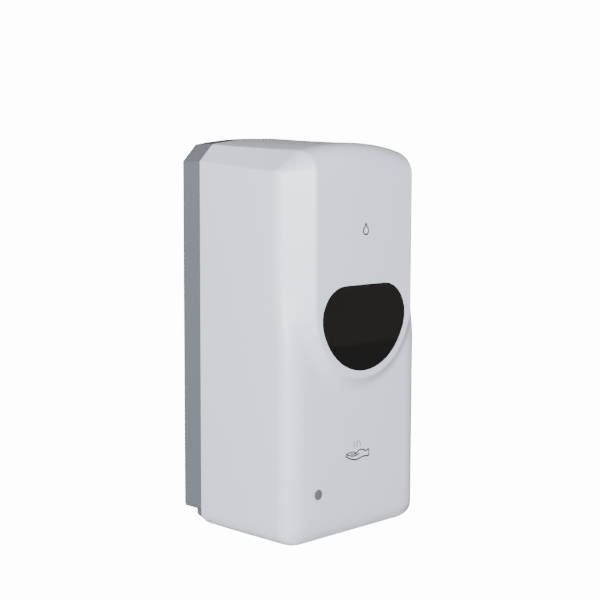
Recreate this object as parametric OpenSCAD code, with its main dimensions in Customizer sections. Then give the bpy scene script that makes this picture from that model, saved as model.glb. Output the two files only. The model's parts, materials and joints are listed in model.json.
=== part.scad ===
// Wall mounted touch-free soap dispenser.
// +X is to the right, +Y points into the wall, +Z is up.
// Shapes are drawn with z = 0 at the foot of the cover, then lowered so that
// the origin is the centre of the four wall screws on the wall plane.

/* [Body] */
// Overall height
height = 267.5; // [255:0.5:275]
// Overall width
width = 130; // [128:1:134]
// Depth from the wall to the raised front panel
depth = 109; // [109:1:112]
// Depth of the grey rear housing
housing_depth = 17; // [16:1:18]
// Wall thickness of the covers
wall = 2.5; // [2:0.1:2.6]
// Height of the raised front panel above the lower face
proud = 6; // [4:0.5:6]
// Bevel at the top side edges
top_bevel = 11.5; // [8:0.5:12]

/* [Window] */
// Radius of the round lower part of the window
window_r = 42; // [36:1:43]
// Height of the window's centre above the foot
window_z = 155; // [150:1:158]
// Height of the flat top edge above the centre
window_flat = 15.8; // [12:0.2:18]

/* [Mounting] */
// Distance between wall screws across the width
screw_dx = 80; // [60:5:90]
// Distance between wall screws up the height
screw_dz = 120; // [100:5:120]
// Radius of the wall screw holes
screw_hole_r = 2.75; // [2.5:0.05:3]

/* [Hidden] */
$fn = 48;

joint_gap = 0.3;
origin_z = 165;
crown = 4.5;
bottom_r = 11;
front_top_r = 24;
top_fall = 4.7;
corner_x = 18;
corner_y = 18.5;
cover_rear = -(housing_depth + joint_gap);
low_front = -(depth - proud);
panel_r = window_r + 5;
housing_foot = 11.8;
hinge_r = 7.9;
hinge_y = cover_rear - hinge_r;
hinge_z = hinge_r;
pin_r = 2;
run = 0.05;
ear_x = 56.6;
ear_t = 4;
window_corner = 22;
lens_x = -38;
lens_z = 33.7;
lens_r = 3.6;
lock_y = -30;
lock_r = 5;
lock_top = 266.3;
pump_x = -22;
pump_z = 54;
tube_y = -82.5;
orbit_r = 11;
roller_r = 4;
squeeze_r = orbit_r + roller_r + joint_gap;
squeeze_t = 3;
chamber_r = squeeze_r + squeeze_t;
tube_r = 3.5;
bend_r = 7;
tube_run = squeeze_r + squeeze_t / 2;
gear_m = 0.8;
pinion_n = 12;
big_n = 36;
small_n = 12;
rotor_n = 40;
compound_x = pump_x + gear_m * (rotor_n + small_n) / 2;
motor_x = compound_x + gear_m * (big_n + pinion_n) / 2;
chassis_x = 56;
chassis_front = -98;
chassis_foot = 10;
deck_z = 92.5;
shell_t = 2.5;
tank_x = 57;
tank_front = -98;
tank_rear = -20;
tank_foot = 94.3;
tank_top = 226;
tank_t = 1.8;
tank_r = 14;
fill_y = -58;
neck_r = 22;
neck_top = 230.7;
aa_r = 7.25;
aa_len = 50.5;
cell_z = 24;
rocker_x = 38;
rocker_z = 72;
dose_z = 50;
jack_x = 34;

white = [0.88, 0.89, 0.91];
grey = [0.53, 0.55, 0.58];
dark = [0.12, 0.11, 0.10];
steel = [0.70, 0.71, 0.73];
cream = [0.85, 0.85, 0.80];

// ---------- helpers ----------
module place() { translate([0, 0, -origin_z]) children(); }

function arc(cx, cy, r, from, to, n) =
  [for (i = [0:n]) [cx + r * cos(from + (to - from) * i / n), cy + r * sin(from + (to - from) * i / n)]];

module box(x0, x1, y0, y1, z0, z1) { translate([x0, y0, z0]) cube([x1 - x0, y1 - y0, z1 - z0]); }

// Cylinder along Y from y0 to y1
module ycyl(x, z, r, y0, y1) { translate([x, y1, z]) rotate([90, 0, 0]) cylinder(r = r, h = y1 - y0); }

// Cylinder along X from x0 to x1
module xcyl(y, z, r, x0, x1) { translate([x0, y, z]) rotate([0, 90, 0]) cylinder(r = r, h = x1 - x0); }

// Cylinder along Z from z0 to z1
module zcyl(x, y, r, z0, z1) { translate([x, y, z0]) cylinder(r = r, h = z1 - z0); }

// Outline in XZ, thickened from y0 to y1
module slab_xz(y0, y1) { translate([0, y1, 0]) rotate([90, 0, 0]) linear_extrude(y1 - y0) children(); }

// Outline in YZ, thickened from x0 to x1
module slab_yz(x0, x1) { translate([x0, 0, 0]) rotate([90, 0, 90]) linear_extrude(x1 - x0) children(); }

module both_sides() { children(); mirror([1, 0, 0]) children(); }

module rounded(x0, x1, y0, y1, r) {
  translate([x0 + r, y0]) square([x1 - x0 - 2 * r, y1 - y0]);
  translate([x0, y0 + r]) square([x1 - x0, y1 - y0 - 2 * r]);
  for (x = [x0 + r, x1 - r], y = [y0 + r, y1 - r]) translate([x, y]) circle(r);
}

// Screw along Y with its head at the front end
module y_screw(x, z, y_head, y_tip, r = 1.4) {
  difference() {
    union() {
      ycyl(x, z, 2.1 * r, y_head, y_head + 2);
      ycyl(x, z, r, y_head + 1.9, y_tip);
    }
    box(x - 0.4, x + 0.4, y_head - 1, y_head + 0.9, z - 2, z + 2);
    box(x - 2, x + 2, y_head - 1, y_head + 0.9, z - 0.4, z + 0.4);
  }
}

// Round wire coil along Z, as one swept tube
module coil(r, wire, turns, rise, steps = 14) {
  rings = turns * steps;
  sides = 6;
  points = [for (i = [0:rings], k = [0:sides - 1])
    let (a = 360 * i / steps, q = r + wire * cos(360 * k / sides))
    [q * cos(a), q * sin(a), rise * i / rings + wire * sin(360 * k / sides)]];
  skin = [for (i = [0:rings - 1], k = [0:sides - 1])
    let (n = (k + 1) % sides)
    [i * sides + k, i * sides + n, (i + 1) * sides + n, (i + 1) * sides + k]];
  ends = [[for (k = [sides - 1:-1:0]) k], [for (k = [0:sides - 1]) rings * sides + k]];
  polyhedron(points, concat([for (f = skin) [f[3], f[2], f[1], f[0]]], [for (f = ends) [for (k = [sides - 1:-1:0]) f[k]]]));
}

// ---------- gears ----------
function inv_point(base, t) = [base * (cos(t) + t * PI / 180 * sin(t)), base * (sin(t) - t * PI / 180 * cos(t))];
function turn(p, a) = [p[0] * cos(a) - p[1] * sin(a), p[0] * sin(a) + p[1] * cos(a)];
function flank_angle(base, r) = let (t = sqrt(max(0, pow(r / base, 2) - 1)) * 180 / PI) t - atan(t * PI / 180);

module gear_outline(n, slack = 0.14) {
  pitch = gear_m * n / 2;
  base = pitch * cos(20);
  tip = pitch + 0.88 * gear_m;
  root = pitch - 1.15 * gear_m;
  half = (90 - slack / (PI * gear_m) * 180) / n + flank_angle(base, pitch);
  start = max(base, root);
  radii = [for (i = [0:4]) start + (tip - start) * i / 4];
  one = concat(
    [[root * cos(-half), root * sin(-half)]],
    [for (r = radii) let (a = -half + flank_angle(base, r)) [r * cos(a), r * sin(a)]],
    [for (i = [4:-1:0]) let (r = radii[i], a = half - flank_angle(base, r)) [r * cos(a), r * sin(a)]],
    [[root * cos(half), root * sin(half)]]);
  polygon([for (k = [0:n - 1], p = one) turn(p, 360 * k / n)]);
}

// Spur gear on an axis along Y
module y_gear(x, z, n, y0, y1, phase = 0) {
  translate([x, y1, z]) rotate([90, 0, 0]) rotate([0, 0, phase]) linear_extrude(y1 - y0) gear_outline(n);
}

// ---------- cover and housing outlines ----------
// Front view of the body, pulled in by inset
module front_outline(inset, foot, foot_r) {
  half = width / 2 - inset;
  crest = width / 2 - top_bevel - 0.414 * inset;
  crease_z = height - crown - inset;
  crown_r = (crest * crest + crown * crown) / (2 * crown);
  spread = asin(crest / crown_r);
  r = max(foot_r - inset, 0.5);
  polygon(concat(
    arc(-half + r, foot + inset + r, r, 180, 270, 8),
    arc(half - r, foot + inset + r, r, 270, 360, 8),
    [[half, crease_z - (half - crest)]],
    arc(0, height - inset - crown_r, crown_r, 90 - spread, 90 + spread, 12),
    [[-half, crease_z - (half - crest)]]));
}

// Side view of the cover body down to the foot, pulled in by inset
module low_profile(inset, rear) {
  r = bottom_r - inset;
  polygon(concat(
    [[rear, 200], [rear, hinge_z]],
    arc(hinge_y, hinge_z, hinge_r - inset, 0, -90, 8),
    arc(low_front + bottom_r, bottom_r, r, 270, 180, 8),
    [[low_front + inset, 200]]));
}

// Side view of the raised front panel and the top
module high_profile(inset, rear) {
  polygon(concat(
    [[rear, 100], [rear, height - inset]],
    arc(-depth + front_top_r, height - top_fall - front_top_r, front_top_r - inset, 90, 180, 12),
    [[-depth + inset, 100]]));
}

// Plan view with the bevelled front corners
module plan_outline(inset, rear) {
  half = width / 2 - inset;
  slip = 0.414 * inset;
  polygon([[-half, rear], [half, rear], [half, -(depth - corner_y) + slip],
    [width / 2 - corner_x - slip, -depth + inset], [-(width / 2 - corner_x) + slip, -depth + inset],
    [-half, -(depth - corner_y) + slip]]);
}

module cover_form(inset, rear) {
  intersection() {
    slab_xz(-depth - 1, 0) front_outline(inset, 0, bottom_r);
    linear_extrude(height + 1) plan_outline(inset, rear);
    union() {
      slab_yz(-width / 2, width / 2) low_profile(inset, rear);
      intersection() {
        slab_yz(-width / 2, width / 2) high_profile(inset, rear);
        slab_xz(-depth - 1, 0) union() {
          translate([-width / 2, window_z]) square([width, height]);
          translate([0, window_z]) circle(panel_r - inset, $fn = 96);
        }
      }
    }
  }
}

module window_outline(inset) {
  cz = window_flat - window_corner;
  cx = sqrt(pow(window_r - window_corner, 2) - cz * cz);
  lean = atan2(cz, cx);
  translate([0, window_z]) polygon(concat(
    arc(cx, cz, window_corner - inset, 90, lean, 8),
    arc(0, 0, window_r - inset, lean, -180 - lean, 36),
    arc(-cx, cz, window_corner - inset, 180 - lean, 90, 8)));
}

// ---------- rear housing ----------
module ear_outline() {
  polygon([[-7.8, 14], [-7.8, 8], [-8.6, 6.9], [-12.8, 5.5], [hinge_y + 1, hinge_z - 4.5], [hinge_y - 4.5, hinge_z + 0.5],
    [hinge_y, hinge_z + 4.6], [-19, 20], [-7.8, 20]]);
  translate([hinge_y, hinge_z]) circle(4.6);
}

module rear_housing() {
  color(grey) place() {
    difference() {
      union() {
        difference() {
          slab_xz(-housing_depth, 0) front_outline(0, housing_foot, 3);
          slab_xz(-housing_depth - 1, -3) front_outline(wall, housing_foot, 3);
        }
        for (x = [-screw_dx / 2, screw_dx / 2], z = [-screw_dz / 2, screw_dz / 2])
          ycyl(x, origin_z + z, 6, -5, -2);
        for (x = [-51, 51], z = [41, 83]) ycyl(x, z, 4, -19.5, -2);
        both_sides() slab_yz(ear_x, ear_x + ear_t) ear_outline();
        for (z = [110, 160, 210]) box(-20, 20, -6, -2, z, z + 2);
      }
      for (x = [-screw_dx / 2, screw_dx / 2], z = [-screw_dz / 2, screw_dz / 2])
        ycyl(x, origin_z + z, screw_hole_r, -8, 1);
      for (x = [-51, 51], z = [41, 83]) ycyl(x, z, 1.4, -20, -5);
      both_sides() xcyl(hinge_y, hinge_z, pin_r, ear_x - 1, ear_x + ear_t + 1);
      for (x = [7, 25]) ycyl(x, 240, 1.4, -4, -0.8);
      box(jack_x - 4.5, jack_x + 4.5, -14, -5, housing_foot - 1, housing_foot + 4);
    }
  }
}

module hinge_pins() {
  color(steel) place() both_sides() xcyl(hinge_y, hinge_z, pin_r, ear_x - 0.4, 63.8);
}

// ---------- front cover ----------
module front_cover() {
  color(white) place() {
    difference() {
      union() {
        difference() {
          cover_form(0, cover_rear);
          cover_form(wall, -5);
        }
        both_sides() xcyl(hinge_y, hinge_z, 4.4, ear_x + ear_t + 0.3, width / 2 - wall + 0.1);
        zcyl(0, lock_y, 8, 254, height - top_fall + 1);
        for (x = [-44, 44]) box(x - 1, x + 1, -74, -30, 256, 260.4);
      }
      slab_xz(-depth - 1, -depth + 4) window_outline(0);
      ycyl(lens_x, lens_z, lens_r, low_front - 1, low_front + 4);
      linear_extrude(4) rounded(-24, 24, -96, -52, 8);
      both_sides() box(ear_x - 0.6, ear_x + ear_t + 0.3, -34, -16, -1, 9.2);
      box(-ear_x, ear_x, hinge_y - 1.3, -16, -1, 9.5);
      both_sides() xcyl(hinge_y, hinge_z, pin_r + run, ear_x, 64);
      zcyl(0, lock_y, lock_r + run, 250, height + 1);
    }
  }
}

module level_window() {
  color(dark) place() {
    slab_xz(-depth + 0.3, -depth + wall) window_outline(0.15);
    slab_xz(-depth + wall, -depth + wall + 1.2) window_outline(-2);
  }
}

module window_retainer() {
  color(white) place() slab_xz(-depth + wall + 1.2, -depth + wall + 2.7) difference() {
    window_outline(-2);
    window_outline(4);
  }
}

module indicator_lens() {
  color([0.45, 0.46, 0.48]) place() {
    ycyl(lens_x, lens_z, lens_r - 0.05, low_front - 0.2, low_front + wall);
    ycyl(lens_x, lens_z, lens_r + 1, low_front + wall, low_front + wall + 0.8);
  }
}

// Outline of an open hand seen from the side, fingers to the left
hand_points = [[12, -0.8], [8, 0.6], [3, 1.9], [-1, 2.1], [-3.6, 1.2], [-2.6, 0.1], [-6, -0.1], [-11.6, 0.7],
  [-12, -0.6], [-8, -2.8], [-4, -4.4], [3, -5.2], [8, -4.2], [12, -4.4]];
ray_w = 0.5;

module hand_pictogram() {
  color(dark) place() translate([0, low_front, 57.6]) rotate([90, 0, 0]) linear_extrude(0.12) {
    difference() {
      polygon(hand_points);
      offset(delta = -ray_w) polygon(hand_points);
    }
    for (x = [-3.6, 0, 3.6]) polygon([[x - ray_w / 2, 4], [x + ray_w / 2, 4],
      [0.7 * x + ray_w / 2, 7.4], [0.7 * x - ray_w / 2, 7.4]]);
  }
}

module drop_mark() {
  color(dark) place() translate([0, -depth, 206.4]) rotate([90, 0, 0]) linear_extrude(0.12) difference() {
    polygon(concat(arc(0, 0, 2.6, -210, 30, 16), [[0, 5.4]]));
    polygon(concat(arc(0, 0, 1.9, -210, 30, 16), [[0, 4]]));
  }
}

// ---------- lock ----------
module lock_barrel() {
  color(grey) place() difference() {
    zcyl(0, lock_y, lock_r, 250.8, lock_top);
    for (x = [-2.2, 2.2]) zcyl(x, lock_y, 0.9, lock_top - 5, lock_top + 1);
  }
}

module lock_cam() {
  color(steel) place() difference() {
    union() {
      zcyl(0, lock_y, 5, 247.8, 250.8);
      box(-3, 3, lock_y, lock_y + 10, 247.8, 250.8);
      zcyl(0, lock_y + 10, 3, 247.8, 250.8);
    }
    zcyl(0, lock_y, 1.2, 247, 252);
  }
}

module cam_screw() {
  color(steel) place() {
    zcyl(0, lock_y, 2.6, 246.2, 247.8);
    zcyl(0, lock_y, 1.2, 247.7, 250.8);
  }
}

module lock_keeper() {
  color(steel) place() difference() {
    union() {
      box(2, 30, -4.5, -3, 236, 252);
      box(14.5, 17.5, -36.5, -3.5, 244, 252);
      box(6.5, 17.5, -36.5, -34.2, 244, 252);
    }
    for (x = [7, 25]) ycyl(x, 240, 1.4, -6, -2);
  }
}

module keeper_screws() { color(steel) place() for (x = [7, 25]) y_screw(x, 240, -6.5, -1); }

// ---------- reservoir ----------
module soap_reservoir() {
  color([0.85, 0.87, 0.88, 0.6]) place() difference() {
    union() {
      translate([0, 0, tank_foot]) linear_extrude(tank_top - tank_foot)
        rounded(-tank_x, tank_x, tank_front, tank_rear, tank_r);
      zcyl(0, fill_y, neck_r, tank_top - 1, neck_top);
      zcyl(0, tube_y, 8, 86.3, tank_foot + 1);
    }
    translate([0, 0, tank_foot + tank_t]) linear_extrude(tank_top - tank_foot - 2 * tank_t)
      rounded(-tank_x + tank_t, tank_x - tank_t, tank_front + tank_t, tank_rear - tank_t, tank_r - tank_t);
    zcyl(0, fill_y, neck_r - 2, tank_top - 3, neck_top + 1);
    zcyl(0, tube_y, 3, 80, tank_foot + 3);
  }
}

module fill_cap() {
  color(white) place() union() {
    difference() {
      zcyl(0, fill_y, 25, 227, 234);
      zcyl(0, fill_y, neck_r + 0.4, 226, 232);
    }
    for (a = [0:15:345]) translate([0, fill_y, 227]) rotate(a) translate([24.6, -0.7, 0]) cube([1.2, 1.4, 6]);
  }
}

module cap_seal() {
  color(dark) place() difference() {
    zcyl(0, fill_y, neck_r - 0.2, 231, 232);
    zcyl(0, fill_y, neck_r - 2.2, 230, 233);
  }
}

module valve_poppet() {
  color(cream) place() {
    zcyl(0, tube_y, 1.5, 88.4, 97.3);
    zcyl(0, tube_y, 4.5, 97.2, 98.7);
  }
}

module valve_washer() {
  color(dark) place() difference() {
    zcyl(0, tube_y, 4.5, 96.4, 97.2);
    zcyl(0, tube_y, 1.5, 96, 98);
  }
}

module valve_spring() {
  color(steel) place() translate([0, tube_y, 99.3]) coil(3.4, 0.35, 5, 9.4);
}

module valve_cage() {
  color(cream) place() difference() {
    union() {
      zcyl(0, tube_y, 7, 109.3, 111);
      for (a = [0, 120, 240]) translate([0, tube_y, 96]) rotate(a) translate([5.4, -1, 0]) cube([1.6, 2, 14]);
    }
    zcyl(0, tube_y, 1.8, 109, 112);
  }
}

module inlet_socket() {
  color(grey) place() difference() {
    union() {
      zcyl(0, tube_y, 10.4, 82.5, 93.4);
      zcyl(0, tube_y, 12, deck_z, 93.4);
      zcyl(0, tube_y, 1.95, 77, 83);
    }
    difference() {
      zcyl(0, tube_y, 9.5, 84.5, 94);
      zcyl(0, tube_y, 1.2, 85.4, 88);
      box(-0.5, 0.5, tube_y - 9.6, tube_y + 9.6, 84.4, 85.6);
    }
    zcyl(0, tube_y, 1.1, 76, 84.55);
  }
}

module inlet_seal() {
  color(dark) place() difference() {
    zcyl(0, tube_y, 9.5, 89.5, 92.4);
    zcyl(0, tube_y, 8.08, 89, 93);
  }
}

// ---------- lower chassis ----------
module chassis_outline() {
  corner = 5;
  polygon([[-chassis_x, -17.6], [-chassis_x, chassis_front + corner], [corner - chassis_x, chassis_front],
    [chassis_x - corner, chassis_front], [chassis_x, chassis_front + corner], [chassis_x, -17.6]]);
}

module lower_chassis() {
  color(cream) place() difference() {
    union() {
      difference() {
        translate([0, 0, chassis_foot]) linear_extrude(deck_z - chassis_foot) chassis_outline();
        translate([0, 0, chassis_foot + shell_t]) linear_extrude(deck_z - chassis_foot - 2 * shell_t)
          union() {
            offset(delta = -shell_t) chassis_outline();
            translate([-chassis_x + shell_t, -25]) square([2 * (chassis_x - shell_t), 15]);
          }
      }
      for (x = [-51, 51], z = [41, 83]) box(x - 5, x + 5, -22, -19.5, z - 5, z + 5);
      both_sides() {
        box(54.4, 56, -58, -22, 5.6, 10.1);
        box(52.9, 54.5, -58, -22, 5.6, 7.1);
      }
      for (y = [-80, -38], z = [46, 82]) xcyl(y, z, 2.8, 45.6, 54);
      for (x = [-13, 13]) zcyl(x, -61, 2.4, 12, 18);
    }
    zcyl(0, tube_y, 10.5, 80, 95);
    zcyl(0, tube_y, 6.05, 5, 15);
    box(-14, 14, -73, -63, 5, 15);
    ycyl(lens_x, lens_z, 2.5, -100, -90);
    box(rocker_x - 8.1, rocker_x + 8.1, -100, -90, rocker_z - 10.1, rocker_z + 10.1);
    box(rocker_x - 4.2, rocker_x + 4.2, -100, -90, dose_z - 2, dose_z + 2);
    for (x = [-51, 51], z = [41, 83]) ycyl(x, z, 1.6, -23, -19);
    for (x = [-51, 51], z = [41, 83]) ycyl(x, z, 4.2, -19.5, -10);
    for (x = [-51, 51], z = [41, 83]) ycyl(x, z, 3.1, -26, -22);
    box(-51.5, 51.5, -52.6, -22, 5, 15);
  }
}

module chassis_screws() { color(steel) place() for (x = [-51, 51], z = [41, 83]) y_screw(x, z, -24, -8); }

// ---------- pump ----------
module pump_outline() {
  translate([pump_x, pump_z]) circle(21);
  translate([pump_x, pump_z - 21]) square([25, 42]);
  for (a = [135, 225]) translate([pump_x + 23 * cos(a), pump_z + 23 * sin(a)]) circle(3.6);
}

module pump_screw_places() {
  for (a = [135, 225]) translate([pump_x + 23 * cos(a), 0, pump_z + 23 * sin(a)]) children();
  for (z = [-9, 9]) translate([-0.2, 0, pump_z + z]) children();
}

module pump_base() {
  color(grey) place() difference() {
    union() {
      slab_xz(-90, -72) pump_outline();
      for (x = [-40, -14]) box(x, x + 3, -88, -76, 12.5, 36);
      for (x = [-43, -15]) box(x, x + 5, -92, -76, 12.5, 15);
    }
    ycyl(pump_x, pump_z, chamber_r, -91, -74.5);
    for (z = [1, -1]) box(pump_x, 4, -91, -74.5, pump_z + z * tube_run - 4, pump_z + z * tube_run + 4.3);
    box(-8, 4, -91, -74.5, pump_z + tube_run, pump_z + 30);
    box(-8, 4, -91, -74.5, pump_z - 30, pump_z - tube_run);
    ycyl(pump_x, pump_z, 2.5 + run, -76, -70);
    ycyl(compound_x, pump_z, 1.5, -74, -70);
    pump_screw_places() ycyl(0, 0, 1.2, -91, -84);
  }
}

module pump_cover() {
  color([0.8, 0.85, 0.9, 0.5]) place() difference() {
    slab_xz(-92.5, -90) pump_outline();
    ycyl(pump_x, pump_z, 2.5 + run, -91.8, -89);
    pump_screw_places() ycyl(0, 0, 1.2, -94, -89);
  }
}

module pump_screws() { color(steel) place() pump_screw_places() y_screw(0, 0, -94.5, -85, 1.2); }

module pump_rotor() {
  color(cream) place() difference() {
    union() {
      ycyl(pump_x, pump_z, 5, -89, -75.5);
      ycyl(pump_x, pump_z, 14.2, -89, -87.2);
      ycyl(pump_x, pump_z, 14.2, -77.3, -75.5);
    }
    ycyl(pump_x, pump_z, 2.5, -90, -75);
    for (a = [0, 120, 240]) translate([pump_x + orbit_r * cos(a), 0, pump_z + orbit_r * sin(a)])
      ycyl(0, 0, 1.2, -90, -75);
  }
}

module rotor_shaft() { color(steel) place() ycyl(pump_x, pump_z, 2.5, -91.5, -60.3); }

module rotor_gear() {
  color(cream) place() difference() {
    union() {
      y_gear(pump_x, pump_z, rotor_n, -70.6, -67);
      ycyl(pump_x, pump_z, 5, -71.6, -63);
    }
    ycyl(pump_x, pump_z, 2.5, -73, -62);
  }
}

module roller_pins() {
  color(steel) place() for (a = [0, 120, 240])
    ycyl(pump_x + orbit_r * cos(a), pump_z + orbit_r * sin(a), 1.2, -89, -75.5);
}

module roller(a) {
  color(white) place() difference() {
    ycyl(pump_x + orbit_r * cos(a), pump_z + orbit_r * sin(a), roller_r, -86.9, -77.6);
    ycyl(pump_x + orbit_r * cos(a), pump_z + orbit_r * sin(a), 1.2 + run, -88, -77);
  }
}

module roller_a() { roller(0); }
module roller_b() { roller(120); }
module roller_c() { roller(240); }

// Soft tube: squeezed flat round the chamber, round elsewhere
module pump_tube() {
  color([0.9, 0.88, 0.8]) place() {
    translate([pump_x, tube_y, pump_z]) rotate([90, 0, 0]) rotate([0, 0, 90])
      rotate_extrude(angle = 180) translate([squeeze_r, -4.4]) square([squeeze_t, 8.8]);
    for (s = [-1, 1]) {
      z = pump_z + s * tube_run;
      box(pump_x - 0.1, pump_x + 8, tube_y - 4.4, tube_y + 4.4, z - squeeze_t / 2, z + squeeze_t / 2);
      xcyl(tube_y, z, tube_r, pump_x + 7.9, -bend_r);
      translate([-bend_r, tube_y, z + s * bend_r]) rotate([90, 0, 0]) rotate([0, 0, s > 0 ? -90 : 0])
        rotate_extrude(angle = 90) translate([bend_r, 0]) circle(tube_r, $fn = 24);
    }
    difference() {
      zcyl(0, tube_y, tube_r, pump_z + tube_run + bend_r - 0.05, 82.4);
      zcyl(0, tube_y, 2, 77, 83);
    }
    difference() {
      zcyl(0, tube_y, tube_r, 25.6, pump_z - tube_run - bend_r + 0.05);
      zcyl(0, tube_y, 2, 25, 31);
    }
  }
}

// ---------- gear train and motor ----------
module gear_plate() {
  color(grey) place() difference() {
    union() {
      box(-42, 32, -60, -58, pump_z - 21, pump_z + 21);
      for (a = [135, 225]) ycyl(pump_x + 23 * cos(a), pump_z + 23 * sin(a), 2.4, -72, -59);
      for (z = [-18.5, 18.5]) ycyl(0.4, pump_z + z, 2.4, -72, -59);
    }
    ycyl(motor_x, pump_z, 3.2, -61, -57);
    for (x = [-8, 8]) ycyl(motor_x + x, pump_z, 1.2, -61, -57);
    ycyl(compound_x, pump_z, 1.5, -61, -57);
  }
}

module compound_gear() {
  color(cream) place() difference() {
    union() {
      y_gear(compound_x, pump_z, big_n, -66, -62.4);
      y_gear(compound_x, pump_z, small_n, -71, -65.9, 15);
    }
    ycyl(compound_x, pump_z, 1.5 + run, -73, -61);
  }
}

module compound_axle() { color(steel) place() ycyl(compound_x, pump_z, 1.5, -74, -58); }

module motor_pinion() {
  color([0.75, 0.62, 0.3]) place() difference() {
    y_gear(motor_x, pump_z, pinion_n, -66.4, -62, 15);
    ycyl(motor_x, pump_z, 1, -68, -61);
  }
}

module motor_shaft() { color(steel) place() ycyl(motor_x, pump_z, 1, -67.2, -45); }

module pump_motor() {
  color(steel) place() difference() {
    union() {
      ycyl(motor_x, pump_z, 12, -58, -30);
      ycyl(motor_x, pump_z, 3, -60, -57);
    }
    ycyl(motor_x, pump_z, 1 + run, -62, -44);
    for (x = [-8, 8]) ycyl(motor_x + x, pump_z, 1.2, -59, -54);
  }
}

module motor_end_cap() {
  color(dark) place() {
    ycyl(motor_x, pump_z, 11.4, -30, -27.4);
    ycyl(motor_x, pump_z, 3.2, -27.5, -26);
    for (x = [-7, 7]) box(motor_x + x - 0.3, motor_x + x + 0.3, -27.5, -23.5, pump_z - 1.5, pump_z + 1.5);
  }
}

module motor_screws() { color(steel) place() for (x = [-8, 8]) y_screw(motor_x + x, pump_z, -61.9, -55, 1.2); }

// ---------- nozzle and sensor ----------
module spout_nozzle() {
  color(grey) place() difference() {
    union() {
      zcyl(0, tube_y, 6, 6.5, 24);
      zcyl(0, tube_y, 8, 12.5, 14.5);
      zcyl(0, tube_y, 1.95, 23, 30.8);
    }
    zcyl(0, tube_y, 1.1, 12, 32);
    zcyl(0, tube_y, 4.2, 5, 13);
  }
}

module duckbill_valve() {
  color(dark) place() difference() {
    union() {
      zcyl(0, tube_y, 4.2, 9.6, 13);
      box(-2.6, 2.6, tube_y - 1.1, tube_y + 1.1, 5.2, 9.7);
    }
    zcyl(0, tube_y, 2.6, 10, 14);
    box(-2, 2, tube_y - 0.15, tube_y + 0.15, 4, 11);
  }
}

module sensor_board() { color([0.1, 0.4, 0.2]) place() box(-16, 16, -74, -58, 18, 19.6); }

module ir_led(x) {
  zcyl(x, -68, 2.5, 13.6, 18);
  translate([x, -68, 13.6]) sphere(2.5);
}

module ir_emitter() { color([0.7, 0.75, 0.9]) place() ir_led(-8); }
module ir_receiver() { color(dark) place() ir_led(8); }

module sensor_window() {
  color(dark) place() {
    box(-13.9, 13.9, -72.9, -63.1, 9, 10.6);
  }
}

module status_led() {
  color([0.9, 0.95, 0.9]) place() {
    ycyl(lens_x, lens_z, 2.45, -99, -94.9);
    ycyl(lens_x, lens_z, 3.2, -95.4, -94.8);
  }
}

module control_board() {
  color([0.1, 0.4, 0.2]) place() difference() {
    box(44, 45.6, -84, -34, 42, 86);
    for (y = [-80, -38], z = [46, 82]) xcyl(y, z, 1.2, 43, 47);
  }
}

module board_parts() {
  color(dark) place() {
    box(41.6, 44, -74, -62, 54, 66);
    xcyl(-50, 60, 4, 34, 44);
    box(38, 44, -84, -76, 50, 62);
    box(41, 44, -60, -56, 72, 80);
  }
}

// ---------- switches ----------
module rocker_frame() {
  color(dark) place() difference() {
    box(rocker_x - 8, rocker_x + 8, -98.6, -88, rocker_z - 10, rocker_z + 10);
    box(rocker_x - 6, rocker_x + 6, -100, -90, rocker_z - 8, rocker_z + 8);
  }
}

module power_rocker() {
  color([0.2, 0.2, 0.22]) place() translate([0, -95, rocker_z]) rotate([-6, 0, 0])
    slab_yz(rocker_x - 5.6, rocker_x + 5.6)
      polygon([[-2.9, 6.5], [-2.3, 0], [-2.9, -6.5], [0.5, -6], [1.6, 0], [0.5, 6]]);
}

module dose_slider() {
  color(dark) place() {
    box(rocker_x - 3.8, rocker_x - 0.2, -99.5, -93, dose_z - 1.6, dose_z + 1.6);
  }
}

// ---------- batteries ----------
cell_x = [-26.2, 26.2];
cell_y = [-29, -45];

module battery_tray() {
  color(cream) place() difference() {
    box(-53.3, 53.3, -54, -20.5, 12.6, 31.5);
    for (y = cell_y) box(-52.6, 52.6, y - 7.6, y + 7.6, 12, 29.6);
  }
}

module aa_cells() {
  color([0.25, 0.3, 0.35]) place() for (x = cell_x, y = cell_y) {
    xcyl(y, cell_z - 2.4, aa_r, x - aa_len / 2 + 1.6, x + aa_len / 2 - 1);
    xcyl(y, cell_z - 2.4, 2.7, x + aa_len / 2 - 1.1, x + aa_len / 2);
  }
}

module battery_contacts() {
  color(steel) place() for (y = cell_y) {
    box(51.8, 52.6, y - 5, y + 5, 16, 28);
    box(-52.6, -51.8, y - 5, y + 5, 16, 28);
  }
}

module battery_door() {
  color(grey) place() {
    box(-54, 54, -57, -23, 7.5, 9.2);
    for (x = [-8:4:8]) box(x - 0.7, x + 0.7, -54, -44, 6.9, 7.6);
  }
}

module dc_jack() {
  color(dark) place() difference() {
    box(jack_x - 4.5, jack_x + 4.5, -14, -5, housing_foot + 0.2, 26);
    zcyl(jack_x, -9.5, 3.2, 10, 23);
  }
}

rear_housing();
hinge_pins();
front_cover();
level_window();
window_retainer();
indicator_lens();
hand_pictogram();
drop_mark();
lock_barrel();
lock_cam();
cam_screw();
lock_keeper();
keeper_screws();
lower_chassis();
chassis_screws();
soap_reservoir();
fill_cap();
cap_seal();
valve_poppet();
valve_washer();
valve_spring();
valve_cage();
inlet_socket();
inlet_seal();
pump_base();
pump_cover();
pump_screws();
pump_rotor();
rotor_shaft();
rotor_gear();
roller_pins();
roller_a();
roller_b();
roller_c();
pump_tube();
gear_plate();
compound_gear();
compound_axle();
motor_pinion();
motor_shaft();
pump_motor();
motor_end_cap();
motor_screws();
spout_nozzle();
duckbill_valve();
sensor_board();
ir_emitter();
ir_receiver();
sensor_window();
status_led();
control_board();
board_parts();
rocker_frame();
power_rocker();
dose_slider();
battery_tray();
aa_cells();
battery_contacts();
battery_door();
dc_jack();
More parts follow.
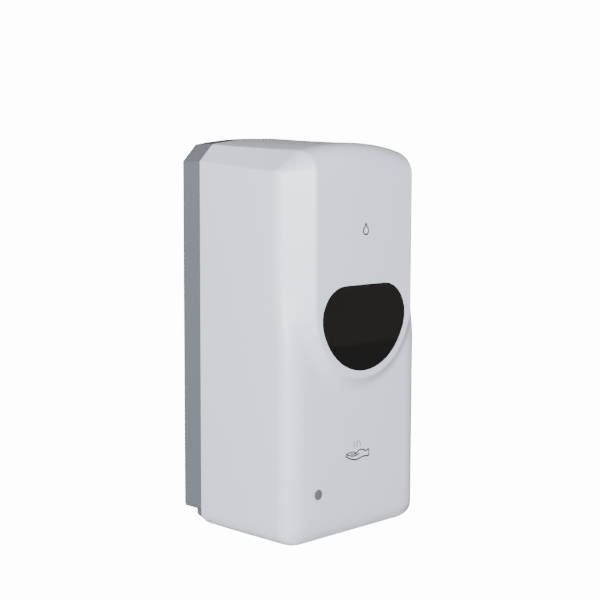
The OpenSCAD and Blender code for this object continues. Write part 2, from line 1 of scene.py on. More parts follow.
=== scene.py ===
import json
import math

import bmesh
import bpy
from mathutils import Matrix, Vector
from mathutils.geometry import delaunay_2d_cdt


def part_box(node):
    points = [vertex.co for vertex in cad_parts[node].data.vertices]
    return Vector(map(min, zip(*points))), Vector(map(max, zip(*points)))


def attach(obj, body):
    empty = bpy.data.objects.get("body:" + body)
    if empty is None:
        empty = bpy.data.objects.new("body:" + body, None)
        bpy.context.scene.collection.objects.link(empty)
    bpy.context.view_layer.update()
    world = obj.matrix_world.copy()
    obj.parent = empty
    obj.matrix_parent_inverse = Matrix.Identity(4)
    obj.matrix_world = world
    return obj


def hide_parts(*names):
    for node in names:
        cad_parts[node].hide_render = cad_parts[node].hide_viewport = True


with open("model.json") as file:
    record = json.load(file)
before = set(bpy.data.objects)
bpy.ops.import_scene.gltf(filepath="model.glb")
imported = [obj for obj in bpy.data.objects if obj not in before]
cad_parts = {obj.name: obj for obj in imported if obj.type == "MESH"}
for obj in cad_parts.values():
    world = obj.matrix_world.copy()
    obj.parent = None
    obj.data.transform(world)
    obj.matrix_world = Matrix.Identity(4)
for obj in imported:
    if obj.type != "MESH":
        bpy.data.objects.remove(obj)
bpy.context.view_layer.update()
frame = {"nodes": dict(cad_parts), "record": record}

# Everything below is worked out in millimetres, with z = 0 at the foot of the cover and x < 0 on the
# left, and turned into metres of the shared frame by to_frame().
MM = 0.001
LOW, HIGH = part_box("front_cover")
HALF = HIGH[0] / MM
DEPTH = -LOW[1] / MM
HEIGHT = (HIGH[2] - LOW[2]) / MM
REAR = HIGH[1] / MM
FOOT = LOW[2]


def to_frame(p):
    return Vector((p[0] * MM, p[1] * MM, FOOT + p[2] * MM))


def local(point):
    return (point[0] / MM, point[1] / MM, (point[2] - FOOT) / MM)


# ---------------------------------------------------------------- shape of the cover
PROUD = 6.0            # raised front panel above the lower face
CORNER_X = 18.0        # width of the bevelled front corners
CORNER_Y = 18.5        # depth of the bevelled front corners
LOW_Y = CORNER_Y - PROUD
FOOT_R = 11.0          # rounding along the foot
PANEL_X = HALF - CORNER_X
SIDE_Y = -(DEPTH - CORNER_Y)
WINDOW_R = 42.0
WINDOW_Z = 155.0       # height of the window's centre
WINDOW_FLAT = 15.8     # height of its flat top above that centre
WINDOW_CORNER = 22.0
BEVEL = 11.5           # top side bevel at the rear
BEVEL_DROP = 6.0       # how far the bevel's lower edge falls towards the front
CROWN = 4.5            # how much lower the creases are than the middle, at the rear of the top
TOP_R = 21.5           # rounding between the top and the front
TOP_FULL = 1.1         # how much fuller the front-top rounding is in the middle than at the creases
TOP_FALL = 3.0         # how far the middle of the top falls towards the front
CREASE_FALL = 3.7      # the same along the creases
FALL_EARLY = 0.4       # share of that fall that comes early
SIDE_LIFT = 3.0        # how far above TOP_Z the top's last side row meets the wall
TOP_Y = -(DEPTH - TOP_R)
TOP_Z = HEIGHT - TOP_FALL - TOP_R
HINGE_R = 7.9          # rounding of the rear foot, about the hinge axis
HINGE_Y = REAR - HINGE_R
WALL = 2.5             # thickness of the shell
TRIM = 1.3             # rounding of the crease
SOFT = 4.0             # rounding where the bevel meets the side
FILLET = 5.0           # soft hollow below the raised panel
FULL = 2.3             # power of the rounded edges: 2 is an ellipse, more is fuller
ROUND_LEVEL = 0.8      # tilt() at which a front row passes from the corner's slope to its rounding
ROUND_PART = 0.7       # share of the shoulder's points that lie on the rounding
MELT_TOP, MELT = 174.0, 46.0   # height where the flat bevel starts to turn round, and over how much
INNER = (3.6, 2.3)     # flat rows just inside the crease
N_PANEL, N_CREASE, N_MID, N_SHOULDER, N_WALL, N_ARC = 7, 6, 22, 9, 8, 6
N_TOP, N_ROUND, N_FRONT = 14, 22, 30
FANS = ((0, 62, 34), (62, 75, 18), (75, 90, 10))   # rows round the window: from, to, how many


def mix(a, b, t):
    return a + (b - a) * t


def mix3(a, b, t):
    return tuple(mix(p, q, t) for p, q in zip(a, b))


def smooth(t):
    t = min(1.0, max(0.0, t))
    return t * t * (3 - 2 * t)


def soft_min(a, b, k):
    h = min(1.0, max(0.0, 0.5 + 0.5 * (b - a) / k))
    return mix(b, a, h) - k * h * (1 - h)


def bezier(a, b, c, n):
    return [mix3(mix3(a, b, i / n), mix3(b, c, i / n), i / n) for i in range(n + 1)]


def toward(a, b, length):
    gap = math.dist(a, b)
    return a if gap < 1e-6 else mix3(a, b, min(length / gap, 0.98))


def graded(i):
    return (i / N_MID) ** 1.6


def wall_stops():
    """Distances behind the shoulder, as (y, height of the rear foot's rounding)."""
    start = SIDE_Y + SOFT
    stops = [(mix(start, HINGE_Y, i / N_WALL), 0.0) for i in range(1, N_WALL + 1)]
    for i in range(1, N_ARC + 1):
        a = math.radians(90 * i / N_ARC)
        stops.append((HINGE_Y + HINGE_R * math.sin(a), HINGE_R - HINGE_R * math.cos(a)))
    return stops


STOPS = wall_stops()


def tilt(x, z):
    """How far out on the rounded edge of the lower body a point of the front view lies: 0 flat, 1 rim."""
    tx = max(0.0, (abs(x) - PANEL_X) / CORNER_X)
    tz = max(0.0, (FOOT_R - z) / FOOT_R)
    return (tx ** FULL + tz ** FULL) ** (1 / FULL)


def low_y(x, z):
    """Front surface of the lower body."""
    t = min(1.0, tilt(x, z))
    return SIDE_Y - LOW_Y * (1 - t ** FULL) ** (1 / FULL)


def reach(angle, level):
    """Distance along a ray from the window's centre at which tilt() reaches level."""
    near, far = 20.0, 220.0
    for _ in range(50):
        mid = (near + far) / 2
        x, z = -mid * math.cos(angle), WINDOW_Z - mid * math.sin(angle)
        if tilt(x, z) < level:
            near = mid
        else:
            far = mid
    return near


def front_section(z_row, angle):
    """A row across the front: level above the window's centre, then fanning out round its lower half."""
    ca, sa = math.cos(angle), math.sin(angle)
    top = WINDOW_Z if angle > 0 else z_row

    def spot(r):
        return (-r * ca, top - r * sa)

    row = []
    for inset in INNER:
        x, z = spot(PANEL_X - inset)
        row.append((x, -DEPTH, z))
    lean = TRIM / math.sqrt(2)
    for out, _, dy in bezier((-TRIM, 0, 0), (0, 0, 0), (lean, 0, lean), N_CREASE):
        x, z = spot(PANEL_X + out)
        row.append((x, -DEPTH + dy, z))
    start = PANEL_X + lean
    end = reach(angle, ROUND_LEVEL) if angle > 0 else PANEL_X + ROUND_LEVEL * CORNER_X
    slope = CORNER_Y / CORNER_X
    for i in range(1, N_MID + 1):
        r = mix(start, end, graded(i))
        x, z = spot(r)
        bevel = -DEPTH + slope * max(0.0, abs(x) - PANEL_X)
        tongue = -DEPTH + slope * (r - PANEL_X)
        joined = soft_min(tongue, low_y(x, z), FILLET)
        row.append((x, mix(bevel, joined, low_weight(z)), z))
    corner = (-HALF, SIDE_Y, 0)
    before = toward(corner, (-PANEL_X, -DEPTH, 0), math.hypot(CORNER_X, CORNER_Y) * (1 - ROUND_LEVEL))
    flat = bezier(before, corner, (-HALF, SIDE_Y + SOFT, 0), N_SHOULDER)
    for i in range(1, N_SHOULDER + 1):
        s = i / N_SHOULDER
        part = min(1.0, s / ROUND_PART)
        out = math.sin(mix(math.asin(ROUND_LEVEL), math.pi / 2, part))
        r = reach(angle, min(0.99999, out)) if angle > 0 else PANEL_X + CORNER_X * out
        x, z = spot(r)
        edge = SIDE_Y - LOW_Y * max(0.0, 1 - out ** FULL) ** (1 / FULL)
        y = edge if s < ROUND_PART else SIDE_Y + SOFT * (s - ROUND_PART) / (1 - ROUND_PART)
        w = low_weight(z)
        row.append((mix(flat[i][0], x, w), mix(flat[i][1], y, w), z))
    x, _, z = row[-1]
    for y, lift in STOPS:
        row.append((x, y, max(z, lift)))
    return row


def low_weight(z):
    """0 where the corner is a flat bevel, 1 where it is the lower body's round corner."""
    return smooth((MELT_TOP - z) / MELT)


def upper_section(centre, crease, shoulder, rear_point, soft):
    """A row across the top or the front-top rounding. centre(x) gives the panel's surface."""
    row = []
    half = abs(crease[0])
    for i in range(N_PANEL + 1):
        row.append(centre(-(half - INNER[0]) * i / N_PANEL))
    row.append(centre(-(half - INNER[1])))
    start = centre(-(half - TRIM))
    row += bezier(start, crease, toward(crease, shoulder, TRIM), N_CREASE)
    end = toward(shoulder, crease, soft)
    for i in range(1, N_MID + 1):
        row.append(mix3(toward(crease, shoulder, TRIM), end, graded(i)))
    row += bezier(end, shoulder, toward(shoulder, rear_point, soft), N_SHOULDER)[1:]
    last = row[-1]
    span = STOPS[-1][0] - (SIDE_Y + SOFT)
    for y, _ in STOPS:
        row.append(mix3(last, rear_point, (y - SIDE_Y - SOFT) / span))
    return row


def top_row(t):
    """A row across the top: t runs from 0 at the rear to 1 where the front rounding starts."""
    y = mix(REAR, TOP_Y, t)
    fall = (1 + FALL_EARLY) * t - FALL_EARLY * t * t
    crease_x = mix(HALF - BEVEL, PANEL_X, mix(t, smooth(t), 0.5))
    top = HEIGHT - TOP_FALL * fall
    crease_z = HEIGHT - CROWN - CREASE_FALL * fall

    def centre(x):
        return (x, y, top - (top - crease_z) * (x / crease_x) ** 2)

    shoulder = (-HALF, y, HEIGHT - CROWN - BEVEL - BEVEL_DROP * t)
    rear_point = (-HALF, REAR, mix(HEIGHT - CROWN - BEVEL - 1, TOP_Z + SIDE_LIFT, t))
    return upper_section(centre, centre(-crease_x), shoulder, rear_point, mix(0.5, SOFT, smooth(t)))


def round_row(angle):
    """A row across the rounding between the top and the front."""
    ca, sa = math.cos(angle), math.sin(angle)
    dip = (CROWN + CREASE_FALL - TOP_FALL) * ca * ca

    def centre(x):
        edge = (x / PANEL_X) ** 2
        power = 2 + TOP_FULL * max(0.0, 1 - edge)
        r = (TOP_R - dip * edge) * (abs(sa) ** power + abs(ca) ** power) ** (-1 / power)
        return (x, TOP_Y - r * sa, TOP_Z + r * ca)

    rise = HEIGHT - CROWN - BEVEL - BEVEL_DROP - TOP_Z
    shoulder = (-HALF, TOP_Y + (SIDE_Y - TOP_Y) * sa, TOP_Z + rise * ca)
    rear_point = (-HALF, REAR, TOP_Z + SIDE_LIFT * (1 - angle / (math.pi / 2)))
    return upper_section(centre, centre(-PANEL_X), shoulder, rear_point, SOFT)


def window_path(inset):
    """The window's outline in the front view, clockwise from the left end of its flat top."""
    cz = WINDOW_FLAT - WINDOW_CORNER
    cx = math.sqrt((WINDOW_R - WINDOW_CORNER) ** 2 - cz * cz)
    lean = math.degrees(math.atan2(cz, cx))
    path = []

    def add(ox, oz, r, a0, a1, n):
        for i in range(n + 1):
            a = math.radians(mix(a0, a1, i / n))
            path.append((ox + r * math.cos(a), WINDOW_Z + oz + r * math.sin(a)))

    add(cx, cz, WINDOW_CORNER - inset, 90, lean, 16)
    add(0, 0, WINDOW_R - inset, lean, -180 - lean, 72)
    add(-cx, cz, WINDOW_CORNER - inset, 180 - lean, 90, 16)
    clean = [path[0]]
    for p in path[1:]:
        if math.dist(p, clean[-1]) > 0.05:
            clean.append(p)
    return clean


def inside(p, loop):
    hit = False
    for (x0, z0), (x1, z1) in zip(loop, loop[1:] + loop[:1]):
        if (z0 > p[1]) != (z1 > p[1]) and p[0] < (x1 - x0) * (p[1] - z0) / (z1 - z0) + x0:
            hit = not hit
    return hit


def new_object(name, bm):
    mesh = bpy.data.meshes.new(name)
    bm.to_mesh(mesh)
    bm.free()
    obj = bpy.data.objects.new(name, mesh)
    bpy.context.scene.collection.objects.link(obj)
    return obj


def smooth_shade(obj, angle=32):
    for poly in obj.data.polygons:
        poly.use_smooth = True
    obj.data.set_sharp_from_angle(angle=math.radians(angle))


def cover_skin():
    """The outer skin of the cover as one open surface, in millimetres."""
    upper = [top_row(i / N_TOP) for i in range(N_TOP + 1)]
    upper += [round_row(math.radians(90 * i / N_ROUND)) for i in range(1, N_ROUND + 1)]
    lead = N_PANEL                            # columns that only the upper rows have
    front_z = [mix(TOP_Z - 4, WINDOW_Z, i / N_FRONT) for i in range(N_FRONT + 1)]
    angles = [mix(a, b, i / n) for a, b, n in FANS for i in range(1, n + 1)]
    front = [front_section(z, 0.0) for z in front_z]
    front += [front_section(WINDOW_Z, math.radians(a)) for a in angles]
    bm = bmesh.new()
    for side in (1, -1):
        grid = [[bm.verts.new((side * p[0], p[1], p[2])) for p in row] for row in upper]
        flat = [bm.verts.new((side * p[0], -DEPTH, front_z[0])) for p in upper[-1][:lead]]
        for i, row in enumerate(front):
            grid.append((flat if i == 0 else [None] * lead) + [bm.verts.new((side * p[0], p[1], p[2]))
                                                             for p in row])
        for a, b in zip(grid, grid[1:]):
            for j in range(len(a) - 1):
                quad = [a[j], b[j], b[j + 1], a[j + 1]]
                if None in quad:
                    continue
                bm.faces.new(quad if side > 0 else quad[::-1])
    bmesh.ops.remove_doubles(bm, verts=bm.verts, dist=1e-4)
    # the flat panel round the window
    rim = [(x, z) for x, _, z in (row[0] for row in front)]
    top = [(p[0], front_z[0]) for p in upper[-1][:lead]]
    left = top + rim
    right = [(-x, z) for x, z in reversed(left)]
    loop = []
    for p in left + right:
        if not loop or math.dist(p, loop[-1]) > 1e-4:
            loop.append(p)
    if math.dist(loop[0], loop[-1]) < 1e-4:
        loop.pop()
    hole = window_path(0)
    spots = [Vector(p) for p in loop + hole]
    n, m = len(loop), len(hole)
    edges = [(i, (i + 1) % n) for i in range(n)] + [(n + i, n + (i + 1) % m) for i in range(m)]
    verts, _, faces, _, _, _ = delaunay_2d_cdt(spots, edges, [], 0, 1e-5)
    made = [bm.verts.new((v[0], -DEPTH, v[1])) for v in verts]
    for f in faces:
        mid = [sum(verts[k][c] for k in f) / len(f) for c in (0, 1)]
        if inside(mid, loop) and not inside(mid, hole):
            bm.faces.new([made[k] for k in f])
    bmesh.ops.remove_doubles(bm, verts=bm.verts, dist=1e-3)
    loose = [v for v in bm.verts if not v.link_faces]
    bmesh.ops.delete(bm, geom=loose, context="VERTS")
    bmesh.ops.recalc_face_normals(bm, faces=bm.faces)
    return bm


def thicken(bm, wall):
    """Adds the inner skin and the rims, so that the open skin becomes a closed shell."""
    bm.normal_update()
    outer = list(bm.verts)
    faces = list(bm.faces)
    core = Vector((0, -DEPTH / 2, HEIGHT / 2))
    outward = sum(f.normal.dot(f.calc_center_median() - core) for f in faces)
    sign = -1 if outward > 0 else 1
    twin = {v: bm.verts.new(v.co + v.normal * sign * wall) for v in outer}
    for v, t in twin.items():
        t.co.y = min(t.co.y, REAR)
        if any(e.is_boundary for e in v.link_edges) and abs(v.co.y - REAR) < 1e-3:
            t.co.y = REAR
    rims = [e for e in bm.edges if e.is_boundary]
    for f in faces:
        bm.faces.new([twin[v] for v in reversed(f.verts)])
    for e in rims:
        a, b = e.link_loops[0].vert, e.link_loops[0].link_loop_next.vert
        bm.faces.new([b, a, twin[a], twin[b]])
    bmesh.ops.recalc_face_normals(bm, faces=bm.faces)


def cutter(name, build):
    bm = bmesh.new()
    build(bm)
    return new_object(name, bm)


def add_prism(bm, outline, low, high, axis):
    """Extrudes a closed outline of (u, v) points along axis x, y or z, in millimetres."""
    place = {"x": lambda u, v, w: (w, u, v), "y": lambda u, v, w: (u, w, v),
             "z": lambda u, v, w: (u, v, w)}[axis]
    a = [bm.verts.new(to_frame(place(u, v, low))) for u, v in outline]
    b = [bm.verts.new(to_frame(place(u, v, high))) for u, v in outline]
    faces = [bm.faces.new(a), bm.faces.new(b)]
    n = len(outline)
    faces += [bm.faces.new([a[i], a[(i + 1) % n], b[(i + 1) % n], b[i]]) for i in range(n)]
    bmesh.ops.recalc_face_normals(bm, faces=faces)


def ring(u, v, r, n=40):
    return [(u + r * math.cos(2 * math.pi * i / n), v + r * math.sin(2 * math.pi * i / n)) for i in range(n)]


def round_box(u0, u1, v0, v1, r, n=8):
    path = []
    for cu, cv, start in ((u1 - r, v1 - r, 0), (u0 + r, v1 - r, 90),
                          (u0 + r, v0 + r, 180), (u1 - r, v0 + r, 270)):
        for i in range(n + 1):
            a = math.radians(start + 90 * i / n)
            path.append((cu + r * math.cos(a), cv + r * math.sin(a)))
    return path


def subtract(obj, tool):
    cut = obj.modifiers.new("cut", "BOOLEAN")
    cut.operation = "DIFFERENCE"
    cut.solver = "MANIFOLD"
    cut.object = tool
    depsgraph = bpy.context.evaluated_depsgraph_get()
    mesh = bpy.data.meshes.new_from_object(obj.evaluated_get(depsgraph))
    obj.modifiers.clear()
    obj.data = mesh
    bpy.data.objects.remove(tool)


def box_mid(node):
    low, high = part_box(node)
    a, b = local(low), local(high)
    return tuple((p + q) / 2 for p, q in zip(a, b)), tuple((q - p) / 2 for p, q in zip(a, b))


def build_cover():
    bm = cover_skin()
    thicken(bm, WALL)
    for v in bm.verts:
        v.co = to_frame(v.co)
    cover = new_object("cover_shell", bm)
    (lens_x, _, lens_z), _ = box_mid("status_led")
    (lock_x, lock_y, _), (lock_r, _, _) = box_mid("lock_barrel")
    lens_r, lock_gap = 3.6, 0.15
    lock_floor = 255.0                        # inside of the top, below the lock's hole
    ear_in, ear_out = 56.0, 61.0              # slots for the hinge lugs of the rear housing
    ear_front, ear_rear, ear_top = -34.0, -10.0, 9.2
    foot_front, foot_top, foot_gap = HINGE_Y - 1.3, 9.6, 0.5
    past = 2.0                                # how far a cutting block reaches past the surface

    def slot(front, rear, top):
        return [(front, -past), (rear, -past), (rear, top), (front, top)]

    def cuts(bm):
        soap_way = round_box(-24, 24, -96, -52, 8)
        add_prism(bm, soap_way, -past, 4, "z")
        add_prism(bm, ring(lens_x, lens_z, lens_r), -DEPTH, -DEPTH + PROUD + 4, "y")
        add_prism(bm, ring(lock_x, lock_y, lock_r + lock_gap), lock_floor, HEIGHT + past, "z")
        for s in (-1, 1):
            low, high = sorted((s * ear_in, s * ear_out))
            add_prism(bm, slot(ear_front, ear_rear, ear_top), low, high, "x")
        between = ear_in - foot_gap
        add_prism(bm, slot(foot_front, ear_rear, foot_top), -between, between, "x")

    subtract(cover, cutter("cuts", cuts))
    bm = bmesh.new()
    bm.from_mesh(cover.data)
    boss = ring(HINGE_Y, HINGE_R, 4.4)        # round the hinge pins, sunk 0.2 mm into the wall
    rib = round_box(-74, -30, 256, 260.4, 1.5)
    for outline, near, far in ((boss, 60.9, HALF - WALL + 0.2), (rib, 43, 45)):
        for s in (-1, 1):
            low, high = sorted((s * near, s * far))
            add_prism(bm, outline, low, high, "x")
    bm.to_mesh(cover.data)
    bm.free()
    smooth_shade(cover)
    return cover


# ---------------------------------------------------------------- materials
def base_material(name):
    mat = bpy.data.materials.new(name)
    mat.use_nodes = True
    tree = mat.node_tree
    return mat, tree, tree.nodes["Principled BSDF"]


def add(tree, kind, **values):
    node = tree.nodes.new(kind)
    for key, value in values.items():
        if key in node.inputs:
            node.inputs[key].default_value = value
        else:
            setattr(node, key, value)
    return node


def plastic(name, colour, rough, grain=900.0, bump=0.05, drift=0.03, clear=0.0, coat=0.0, ior=1.46):
    """Moulded plastic: a fine grain, a slow drift of tone and a roughness that isn't quite even."""
    mat, tree, shader = base_material(name)
    link = tree.links.new
    spot = add(tree, "ShaderNodeTexCoord")
    slow = add(tree, "ShaderNodeTexNoise", Scale=14.0, Detail=2.0)
    fine = add(tree, "ShaderNodeTexNoise", Scale=grain, Detail=3.0)
    tone = add(tree, "ShaderNodeMix", data_type="RGBA")
    dark = [c * (1 - drift) for c in colour] + [1]
    light = [min(1, c * (1 + drift)) for c in colour] + [1]
    tone.inputs["A"].default_value = dark
    tone.inputs["B"].default_value = light
    rough_map = add(tree, "ShaderNodeMapRange")
    rough_map.inputs["To Min"].default_value = rough * 0.9
    rough_map.inputs["To Max"].default_value = rough * 1.1
    bumps = add(tree, "ShaderNodeBump", Strength=bump, Distance=0.0002)
    link(spot.outputs["Object"], slow.inputs["Vector"])
    link(spot.outputs["Object"], fine.inputs["Vector"])
    link(slow.outputs["Fac"], tone.inputs["Factor"])
    link(tone.outputs["Result"], shader.inputs["Base Color"])
    link(fine.outputs["Fac"], rough_map.inputs["Value"])
    link(rough_map.outputs["Result"], shader.inputs["Roughness"])
    link(fine.outputs["Fac"], bumps.inputs["Height"])
    link(bumps.outputs["Normal"], shader.inputs["Normal"])
    shader.inputs["IOR"].default_value = ior
    shader.inputs["Transmission Weight"].default_value = clear
    shader.inputs["Coat Weight"].default_value = coat
    return mat


def metal(name, colour, rough, streak=(40.0, 40.0, 900.0)):
    """Plated or brushed metal with fine streaks."""
    mat, tree, shader = base_material(name)
    link = tree.links.new
    spot = add(tree, "ShaderNodeTexCoord")
    stretch = add(tree, "ShaderNodeMapping")
    stretch.inputs["Scale"].default_value = streak
    noise = add(tree, "ShaderNodeTexNoise", Scale=1.0, Detail=4.0)
    tone = add(tree, "ShaderNodeMix", data_type="RGBA")
    tone.inputs["A"].default_value = [c * 0.85 for c in colour] + [1]
    tone.inputs["B"].default_value = [min(1, c * 1.08) for c in colour] + [1]
    rough_map = add(tree, "ShaderNodeMapRange")
    rough_map.inputs["To Min"].default_value = rough * 0.75
    rough_map.inputs["To Max"].default_value = rough * 1.3
    bumps = add(tree, "ShaderNodeBump", Strength=0.08, Distance=0.0002)
    link(spot.outputs["Object"], stretch.inputs["Vector"])
    link(stretch.outputs["Vector"], noise.inputs["Vector"])
    link(noise.outputs["Fac"], tone.inputs["Factor"])
    link(tone.outputs["Result"], shader.inputs["Base Color"])
    link(noise.outputs["Fac"], rough_map.inputs["Value"])
    link(rough_map.outputs["Result"], shader.inputs["Roughness"])
    link(noise.outputs["Fac"], bumps.inputs["Height"])
    link(bumps.outputs["Normal"], shader.inputs["Normal"])
    shader.inputs["Metallic"].default_value = 1.0
    return mat


def smoked_plastic():
    """Smoked acrylic, darker where the soap stands behind it."""
    mat = plastic("smoked", (0.006, 0.0048, 0.0038), 0.16, bump=0.01, drift=0.06, ior=1.4)
    tree = mat.node_tree
    link = tree.links.new
    shader = tree.nodes["Principled BSDF"]
    spot = next(n for n in tree.nodes if n.type == "TEX_COORD")
    tone = next(n for n in tree.nodes if n.type == "MIX")
    split = add(tree, "ShaderNodeSeparateXYZ")
    level = add(tree, "ShaderNodeMapRange", interpolation_type="SMOOTHSTEP")
    soap_top, soft_edge = -0.031, 0.005
    level.inputs["From Min"].default_value = soap_top - soft_edge
    level.inputs["From Max"].default_value = soap_top
    level.inputs["To Min"].default_value = 0.3
    level.inputs["To Max"].default_value = 1.0
    shade = add(tree, "ShaderNodeVectorMath", operation="SCALE")
    link(spot.outputs["Object"], split.inputs["Vector"])
    link(split.outputs["Z"], level.inputs["Value"])
    link(tone.outputs["Result"], shade.inputs[0])
    link(level.outputs["Result"], shade.inputs["Scale"])
    link(shade.outputs["Vector"], shader.inputs["Base Color"])
    return mat


MATERIALS = {
    "white_abs": plastic("white_abs", (0.70, 0.71, 0.83), 0.31, bump=0.03, drift=0.012),
    "grey_abs": plastic("grey_abs", (0.125, 0.136, 0.158), 0.5, grain=1400, bump=0.16, drift=0.03),
    "smoked": smoked_plastic(),
    "lens_grey": plastic("lens_grey", (0.115, 0.118, 0.128), 0.4, bump=0.1, drift=0.08),
    "ink": plastic("ink", (0.02, 0.02, 0.023), 0.55, bump=0.1, drift=0.1),
    "steel": metal("steel", (0.62, 0.63, 0.65), 0.3),
    "natural_abs": plastic("natural_abs", (0.6, 0.6, 0.57), 0.45, bump=0.08),
    "clear_tank": plastic("clear_tank", (0.86, 0.89, 0.9), 0.3, grain=500, bump=0.02, clear=0.55, ior=1.45),
    "black_rubber": plastic("black_rubber", (0.02, 0.02, 0.021), 0.75, grain=1800, bump=0.2, drift=0.1),
    "silicone": plastic("silicone", (0.82, 0.79, 0.72), 0.4, bump=0.08, clear=0.3),
    "black_plastic": plastic("black_plastic", (0.03, 0.03, 0.033), 0.42, bump=0.1, drift=0.08),
    "pcb_green": plastic("pcb_green", (0.015, 0.12, 0.05), 0.3, grain=2600, bump=0.12, drift=0.15),
    "brass": metal("brass", (0.72, 0.52, 0.22), 0.28),
    "cell_wrap": plastic("cell_wrap", (0.04, 0.07, 0.13), 0.25, bump=0.03, drift=0.1, coat=0.4),
    "led_clear": plastic("led_clear", (0.85, 0.88, 0.92), 0.1, bump=0.01, clear=0.8),
}


def dress(obj, slot):
    obj.data.materials.clear()
    obj.data.materials.append(MATERIALS[slot])


def ease_edges(obj, width, segments=2, angle=35):
    """Takes the knife edge off a moulded or machined part."""
    bevel = obj.modifiers.new("edge", "BEVEL")
    bevel.width = width * MM
    bevel.segments = segments
    bevel.limit_method = "ANGLE"
    bevel.angle_limit = math.radians(angle)


def dress_frame():
    slots = {item["node"]: item["material_slot"] for item in frame["record"]["subparts"]}
    for node, obj in frame["nodes"].items():
        mat = MATERIALS[slots[node]]
        if not obj.material_slots:
            obj.data.materials.append(mat)
        for holder in obj.material_slots:
            holder.material = mat


# ---------------------------------------------------------------- printed marks
def stroke_mesh(bm, path, width, y0, y1):
    """A flat printed line of even width along a smooth open path in the front view."""
    left, right = [], []
    for i, (x, z) in enumerate(path):
        a = path[max(0, i - 1)]
        b = path[min(len(path) - 1, i + 1)]
        d = math.dist(a, b)
        nx, nz = -(b[1] - a[1]) / d, (b[0] - a[0]) / d
        left.append((x + nx * width / 2, z + nz * width / 2))
        right.append((x - nx * width / 2, z - nz * width / 2))
    add_prism(bm, left + right[::-1], y0, y1, "y")


def curve_path(points, steps=10):
    """Catmull-Rom curve through the given points."""
    full = [points[0]] + points + [points[-1]]
    path = []
    for a, b, c, d in zip(full, full[1:], full[2:], full[3:]):
        for i in range(steps):
            t = i / steps
            path.append(tuple(0.5 * (2 * q + (r - p) * t + (2 * p - 5 * q + 4 * r - s) * t * t
                                     + (3 * q - p - 3 * r + s) * t ** 3) for p, q, r, s in zip(a, b, c, d)))
    path.append(points[-1])
    return path


# each stroke of the open hand and the rays above it: its width, then points in the front view
HAND = (
    (0.85, ((-1.7, 55.8), (-0.2, 56.7), (1.6, 57.6), (3.6, 57.9), (5.7, 57.4), (7.7, 56.4), (8.8, 56.2),
            (10.2, 56.8), (11.6, 56.9))),
    (0.85, ((11.6, 57.1), (11.5, 54.6), (11.2, 52.2))),
    (0.95, ((11.3, 52.3), (8.8, 52.6), (6.7, 52.8), (4.2, 52.5), (1.7, 52.0), (-0.8, 51.5), (-3.9, 51.9),
            (-6.9, 52.8), (-9.6, 54.0), (-11.9, 55.5))),
    (0.75, ((-11.4, 56.4), (-9.2, 56.9), (-6.7, 57.2), (-4.2, 57.1), (-2.4, 56.5), (-1.7, 55.8))),
    (0.85, ((-11.4, 56.4), (-8.9, 55.5), (-6.9, 54.9), (-4.4, 54.4), (-1.9, 54.4), (0.1, 54.8),
            (1.7, 55.6))),
    (0.7, ((-6.9, 56.2), (-4.7, 55.6), (-2.2, 55.6), (-0.9, 55.2))),
    (0.42, ((-2.5, 64.6), (-3.2, 62.4), (-4.0, 60.2))),
    (0.42, ((0.1, 64.5), (-0.4, 62.3), (-1.1, 60.0))),
    (0.42, ((1.9, 64.3), (2.8, 62.0), (2.8, 59.6))),
)
INK_SINK, INK_RISE = 0.2, 0.1   # how deep a printed stroke starts, and how far it stands out
DROP_LOW = 1.4         # how far the drop's origin lies below the middle of its place
DROP = (1.0, ((0, 5.0), (-1.1, 2.7), (-2.3, 0.9), (-2.5, -0.7), (-1.7, -2.0), (0, -2.6), (1.7, -2.0),
               (2.5, -0.7), (2.3, 0.9), (1.1, 2.7), (0, 5.0)))


def build_hand():
    """Open hand under falling rays, printed on the lower face."""
    front = -(DEPTH - PROUD)
    bm = bmesh.new()
    for width, points in HAND:
        stroke_mesh(bm, curve_path(list(points)), width, front - INK_RISE, front + INK_SINK)
    hand = new_object("hand_print", bm)
    dress(hand, "ink")
    return hand


def build_drop():
    """Plain drop printed above the window."""
    (cx, _, cz), _ = box_mid("drop_mark")
    bm = bmesh.new()
    width, points = DROP
    path = [(cx + x, cz - DROP_LOW + z) for x, z in curve_path(list(points))]
    stroke_mesh(bm, path, width, -DEPTH - INK_RISE, -DEPTH + INK_SINK)
    mark = new_object("drop_print", bm)
    dress(mark, "ink")
    return mark


# ---------------------------------------------------------------- camera, light, floor
def set_camera():
    """The camera stands to the left of the front, a little above the middle of the cover."""
    azimuth, pitch, roll = math.radians(-45.5), math.radians(6.12), math.radians(0.19)
    distance, focal_px, frame_px, sensor = 938.0, 1350.0, 600.0, 36.0
    target = to_frame((-1.5, -49.6, 155.8))
    data = bpy.data.cameras.new("camera")
    data.sensor_width = sensor
    data.lens = focal_px / frame_px * sensor
    data.clip_end = 20
    cam = bpy.data.objects.new("camera", data)
    bpy.context.scene.collection.objects.link(cam)
    flat = math.cos(pitch)
    back = Vector((math.sin(azimuth) * flat, -math.cos(azimuth) * flat, math.sin(pitch)))
    cam.location = target + back * distance * MM
    cam.rotation_euler = back.to_track_quat("Z", "Y").to_euler()
    cam.rotation_euler.rotate_axis("Z", roll)
    bpy.context.scene.camera = cam


def area_light(name, azimuth, height, distance, size, power):
    """A square lamp aimed at the middle of the dispenser; azimuth 0 is straight in front of it."""
    data = bpy.data.lights.new(name, "AREA")
    data.energy = power
    data.size = size
    lamp = bpy.data.objects.new(name, data)
    a = math.radians(azimuth)
    spot = Vector((math.sin(a) * distance, -math.cos(a) * distance, height))
    lamp.location = spot
    lamp.rotation_euler = (spot - Vector((0, -0.05, -0.03))).to_track_quat("Z", "Y").to_euler()
    bpy.context.scene.collection.objects.link(lamp)


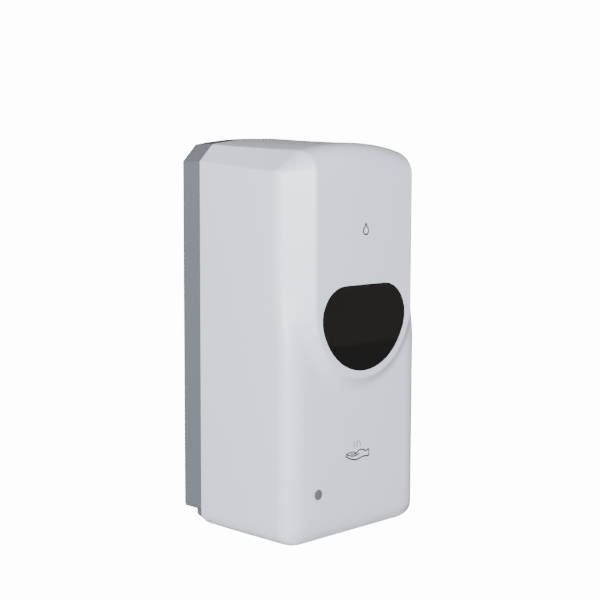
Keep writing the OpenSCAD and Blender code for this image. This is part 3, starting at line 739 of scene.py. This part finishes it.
def studio_world():
    """Soft white surroundings: plain white to look at, dimmer and paler overhead as light."""
    world = bpy.data.worlds.new("studio")
    bpy.context.scene.world = world
    world.use_nodes = True
    tree = world.node_tree
    link = tree.links.new
    out = tree.nodes["World Output"]
    soft = tree.nodes["Background"]
    white = add(tree, "ShaderNodeBackground", Color=(1, 1, 1, 1), Strength=14.0)
    seen = add(tree, "ShaderNodeLightPath")
    both = add(tree, "ShaderNodeMixShader")
    spot = add(tree, "ShaderNodeTexCoord")
    split = add(tree, "ShaderNodeSeparateXYZ")
    level = add(tree, "ShaderNodeMapRange")
    ranges = {"From Min": -0.2, "From Max": 0.5, "To Min": 0.36, "To Max": 0.05}
    for key, value in ranges.items():
        level.inputs[key].default_value = value
    link(spot.outputs["Generated"], split.inputs["Vector"])
    link(split.outputs["Z"], level.inputs["Value"])
    link(level.outputs["Result"], soft.inputs["Strength"])
    soft.inputs["Color"].default_value = (0.96, 0.98, 1.0, 1)
    link(seen.outputs["Is Camera Ray"], both.inputs["Fac"])
    link(soft.outputs["Background"], both.inputs[1])
    link(white.outputs["Background"], both.inputs[2])
    link(both.outputs["Shader"], out.inputs["Surface"])


def set_stage():
    bm = bmesh.new()
    half, drop = 1.5, 1.2
    bmesh.ops.create_grid(bm, x_segments=4, y_segments=4, size=half)
    for v in bm.verts:
        v.co.z = -drop
    floor = new_object("floor", bm)
    paint = plastic("floor_paint", (0.9, 0.9, 0.9), 0.8, grain=60, bump=0.02, drift=0.01)
    floor.data.materials.append(paint)
    studio_world()
    area_light("key", -46, 0.32, 1.5, 0.85, 53)
    area_light("left_fill", -97, 0.62, 1.5, 0.8, 6)
    area_light("right_fill", 20, 0.3, 1.8, 0.8, 5)
    area_light("back_fill", 180, 0.4, 1.6, 1.0, 9)


# ---------------------------------------------------------------- assembly
set_camera()
dress_frame()
cover = build_cover()
dress(cover, "white_abs")
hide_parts("front_cover")
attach(cover, "cover")
hand = build_hand()
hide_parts("hand_pictogram")
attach(hand, "cover")
drop = build_drop()
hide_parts("drop_mark")
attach(drop, "cover")
ease_edges(frame["nodes"]["rear_housing"], 0.35)
set_stage()
